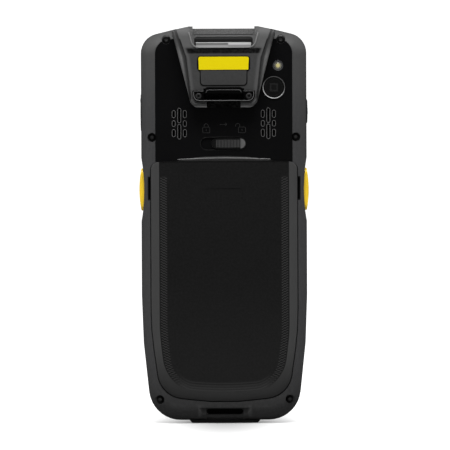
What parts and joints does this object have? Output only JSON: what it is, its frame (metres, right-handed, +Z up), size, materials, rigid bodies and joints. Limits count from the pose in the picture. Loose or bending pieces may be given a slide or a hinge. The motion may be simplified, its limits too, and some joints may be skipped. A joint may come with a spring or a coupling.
{
  "type": "portable barcode data terminal",
  "caption": "Rugged handheld data terminal with a rear scanner hood, display and keypad, side triggers, and a latched battery cover that lifts about hooks at its lower edge.",
  "frame": {"origin": "on the face of the foot under the tail, in the mid-plane of the housing", "axes": "+Z up the length of the terminal, +Y out of its front face with the display, -Y out of its back, +X to the right as its back is seen"},
  "size_m": [0.0694, 0.0261, 0.1624],
  "materials": {
    "casing_grey": "fine matte texture",
    "casing_black": "satin",
    "cover_black": "soft matte",
    "signal_yellow": "satin",
    "label_vinyl": "printed film, blank",
    "key_dark": "satin",
    "window_dark": "polished",
    "screen_glass": "polished",
    "flash_clear": "clear",
    "screw_steel": "black zinc",
    "bright_metal": "brushed",
    "gold_contact": "plated",
    "board_green": "solder mask",
    "inner_black": "moulded",
    "battery_case": "dark printed film over an aluminium can",
    "display_panel": "liquid crystal cell with polariser",
    "seal_rubber": "matte"
  },
  "bodies": {
    "casing": {"rear_housing": "casing_grey", "tail_shoe": "casing_grey", "back_panel": "casing_black", "scanner_housing": "casing_grey", "scanner_window": "window_dark", "label_plate": "label_vinyl", "strap_bracket": "casing_black", "strap_bracket_screws": "screw_steel", "housing_screws": "screw_steel", "camera_bezel": "bright_metal", "camera_lens": "window_dark", "camera_module": "inner_black", "flash_lens": "flash_clear", "speakers": "inner_black", "speaker_mesh": "seal_rubber", "scan_engine": "inner_black", "front_housing": "casing_black", "touch_glass": "screen_glass", "display_module": "display_panel", "receiver": "inner_black", "earpiece_mesh": "seal_rubber", "keypad_mat": "seal_rubber", "keypad_board": "board_green", "main_board": "board_green", "board_screws": "screw_steel", "card_socket": "bright_metal", "vibration_motor": "bright_metal", "trigger_switches": "inner_black", "side_switches": "inner_black", "dock_connector": "inner_black", "dock_pins": "gold_contact", "housing_gasket": "seal_rubber", "cover_seal": "seal_rubber", "battery": "battery_case", "battery_contacts": "gold_contact"},
    "cover": {"battery_cover": "cover_black", "cover_keeper": "bright_metal"},
    "latch": {"latch_knob": "casing_black", "latch_bolt": "bright_metal"},
    "trigger_left": {"trigger_left": "signal_yellow"},
    "trigger_right": {"trigger_right": "signal_yellow"},
    "volume": {"volume_key": "key_dark"},
    "power": {"power_key": "key_dark"},
    "scan_key": {"scan_key": "signal_yellow"},
    "key_menu": {"key_menu": "key_dark"},
    "key_home": {"key_home": "key_dark"},
    "key_back": {"key_back": "key_dark"},
    "key_enter": {"key_enter": "key_dark"},
    "key_1": {"key_1": "key_dark"},
    "key_2": {"key_2": "key_dark"},
    "key_3": {"key_3": "key_dark"},
    "key_4": {"key_4": "key_dark"},
    "key_5": {"key_5": "key_dark"},
    "key_6": {"key_6": "key_dark"},
    "key_7": {"key_7": "key_dark"},
    "key_8": {"key_8": "key_dark"},
    "key_9": {"key_9": "key_dark"},
    "key_star": {"key_star": "key_dark"},
    "key_0": {"key_0": "key_dark"},
    "key_hash": {"key_hash": "key_dark"}
  },
  "joints": [
    {"name": "cover_hinge", "type": "hinge", "parent": "casing", "child": "cover", "pos_m": [0, -0.0094, 0.0088], "axis": [1, 0, 0], "range_deg": [0, 50]},
    {"name": "latch_slide", "type": "slide", "parent": "casing", "child": "latch", "axis": [-1, 0, 0], "range_m": [0, 0.0043]},
    {"name": "trigger_left_press", "type": "slide", "parent": "casing", "child": "trigger_left", "axis": [1, 0, 0], "range_m": [0, 0.0008], "stiffness_N_per_m": 2500, "springref_m": -0.0004},
    {"name": "trigger_right_press", "type": "slide", "parent": "casing", "child": "trigger_right", "axis": [-1, 0, 0], "range_m": [0, 0.0008], "stiffness_N_per_m": 2500, "springref_m": -0.0004},
    {"name": "volume_press", "type": "slide", "parent": "casing", "child": "volume", "axis": [1, 0, 0], "range_m": [0, 0.00025], "stiffness_N_per_m": 4000, "springref_m": -0.0002},
    {"name": "power_press", "type": "slide", "parent": "casing", "child": "power", "axis": [-1, 0, 0], "range_m": [0, 0.00025], "stiffness_N_per_m": 4000, "springref_m": -0.0002},
    {"name": "scan_key_press", "type": "slide", "parent": "casing", "child": "scan_key", "axis": [0, -1, 0], "range_m": [0, 0.00055], "stiffness_N_per_m": 1500, "springref_m": -0.0003},
    {"name": "key_menu_press", "type": "slide", "parent": "casing", "child": "key_menu", "axis": [0, -1, 0], "range_m": [0, 0.00055], "stiffness_N_per_m": 1500, "springref_m": -0.0003},
    {"name": "key_home_press", "type": "slide", "parent": "casing", "child": "key_home", "axis": [0, -1, 0], "range_m": [0, 0.00055], "stiffness_N_per_m": 1500, "springref_m": -0.0003},
    {"name": "key_back_press", "type": "slide", "parent": "casing", "child": "key_back", "axis": [0, -1, 0], "range_m": [0, 0.00055], "stiffness_N_per_m": 1500, "springref_m": -0.0003},
    {"name": "key_enter_press", "type": "slide", "parent": "casing", "child": "key_enter", "axis": [0, -1, 0], "range_m": [0, 0.00055], "stiffness_N_per_m": 1500, "springref_m": -0.0003},
    {"name": "key_1_press", "type": "slide", "parent": "casing", "child": "key_1", "axis": [0, -1, 0], "range_m": [0, 0.00055], "stiffness_N_per_m": 1500, "springref_m": -0.0003},
    {"name": "key_2_press", "type": "slide", "parent": "casing", "child": "key_2", "axis": [0, -1, 0], "range_m": [0, 0.00055], "stiffness_N_per_m": 1500, "springref_m": -0.0003},
    {"name": "key_3_press", "type": "slide", "parent": "casing", "child": "key_3", "axis": [0, -1, 0], "range_m": [0, 0.00055], "stiffness_N_per_m": 1500, "springref_m": -0.0003},
    {"name": "key_4_press", "type": "slide", "parent": "casing", "child": "key_4", "axis": [0, -1, 0], "range_m": [0, 0.00055], "stiffness_N_per_m": 1500, "springref_m": -0.0003},
    {"name": "key_5_press", "type": "slide", "parent": "casing", "child": "key_5", "axis": [0, -1, 0], "range_m": [0, 0.00055], "stiffness_N_per_m": 1500, "springref_m": -0.0003},
    {"name": "key_6_press", "type": "slide", "parent": "casing", "child": "key_6", "axis": [0, -1, 0], "range_m": [0, 0.00055], "stiffness_N_per_m": 1500, "springref_m": -0.0003},
    {"name": "key_7_press", "type": "slide", "parent": "casing", "child": "key_7", "axis": [0, -1, 0], "range_m": [0, 0.00055], "stiffness_N_per_m": 1500, "springref_m": -0.0003},
    {"name": "key_8_press", "type": "slide", "parent": "casing", "child": "key_8", "axis": [0, -1, 0], "range_m": [0, 0.00055], "stiffness_N_per_m": 1500, "springref_m": -0.0003},
    {"name": "key_9_press", "type": "slide", "parent": "casing", "child": "key_9", "axis": [0, -1, 0], "range_m": [0, 0.00055], "stiffness_N_per_m": 1500, "springref_m": -0.0003},
    {"name": "key_star_press", "type": "slide", "parent": "casing", "child": "key_star", "axis": [0, -1, 0], "range_m": [0, 0.00055], "stiffness_N_per_m": 1500, "springref_m": -0.0003},
    {"name": "key_0_press", "type": "slide", "parent": "casing", "child": "key_0", "axis": [0, -1, 0], "range_m": [0, 0.00055], "stiffness_N_per_m": 1500, "springref_m": -0.0003},
    {"name": "key_hash_press", "type": "slide", "parent": "casing", "child": "key_hash", "axis": [0, -1, 0], "range_m": [0, 0.00055], "stiffness_N_per_m": 1500, "springref_m": -0.0003}
  ]
}
